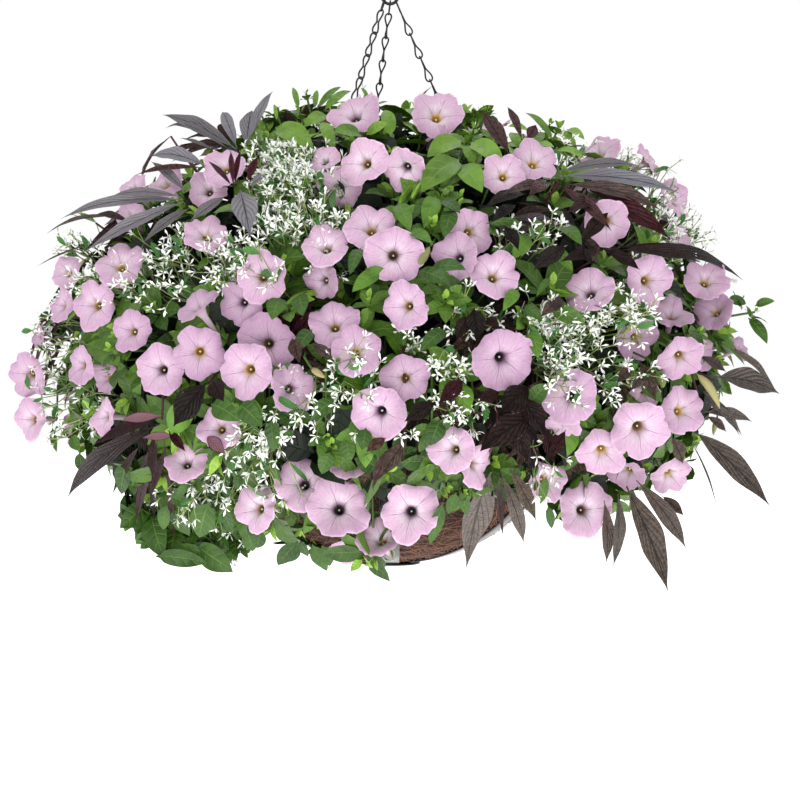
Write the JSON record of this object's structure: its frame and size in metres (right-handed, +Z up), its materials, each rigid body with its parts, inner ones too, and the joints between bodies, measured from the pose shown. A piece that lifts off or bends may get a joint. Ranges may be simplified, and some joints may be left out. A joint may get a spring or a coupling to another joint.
{
  "type": "hanging flower basket",
  "caption": "Hanging basket on three chains and a hook, with a banded coir bowl, overflowing with lilac petunias, dark vine and white euphorbia.",
  "frame": {"origin": "inside top of the hook, where the hook hangs on its support", "axes": "+Z up along the hanging line, -Y towards the viewer of the front, +X to the viewer's right"},
  "size_m": [0.7581, 0.7301, 0.6658],
  "materials": {
    "hook_wire": "glossy black coating on steel wire",
    "chain_wire": "glossy black coating on steel wire",
    "band_steel": "glossy dark coating on flat steel band",
    "coir": "matted red-brown coconut fibre",
    "soil": "moist dark potting mix",
    "petal": "lilac-pink petals with darker veins, satin",
    "petunia_leaf": "mid-green leaves, finely hairy, satin",
    "vine_leaf": "dark purple-brown leaves, waxy sheen",
    "euphorbia_bract": "white bracts and yellow-green stems, matt"
  },
  "bodies": {
    "root": {"basket_frame": "band_steel", "chain_01": "chain_wire", "chain_02": "chain_wire", "chain_03": "chain_wire", "coir_liner": "coir", "euphorbia_01": "euphorbia_bract", "euphorbia_02": "euphorbia_bract", "euphorbia_03": "euphorbia_bract", "euphorbia_04": "euphorbia_bract", "euphorbia_05": "euphorbia_bract", "euphorbia_06": "euphorbia_bract", "euphorbia_07": "euphorbia_bract", "euphorbia_08": "euphorbia_bract", "hook": "hook_wire", "petunia_leafy_stem_01": "petunia_leaf", "petunia_leafy_stem_02": "petunia_leaf", "petunia_leafy_stem_03": "petunia_leaf", "petunia_leafy_stem_04": "petunia_leaf", "petunia_leafy_stem_05": "petunia_leaf", "petunia_leafy_stem_06": "petunia_leaf", "petunia_spray_01": "petal", "petunia_spray_02": "petal", "petunia_spray_03": "petal", "petunia_spray_04": "petal", "petunia_spray_05": "petal", "petunia_spray_06": "petal", "petunia_spray_07": "petal", "petunia_spray_08": "petal", "petunia_spray_09": "petal", "petunia_spray_10": "petal", "petunia_spray_11": "petal", "petunia_spray_12": "petal", "petunia_spray_13": "petal", "petunia_spray_14": "petal", "petunia_spray_15": "petal", "petunia_spray_16": "petal", "petunia_spray_17": "petal", "petunia_spray_18": "petal", "potting_soil": "soil", "vine_01": "vine_leaf", "vine_02": "vine_leaf", "vine_03": "vine_leaf", "vine_04": "vine_leaf", "vine_05": "vine_leaf", "vine_06": "vine_leaf", "vine_07": "vine_leaf", "vine_08": "vine_leaf"}
  },
  "joints": []
}
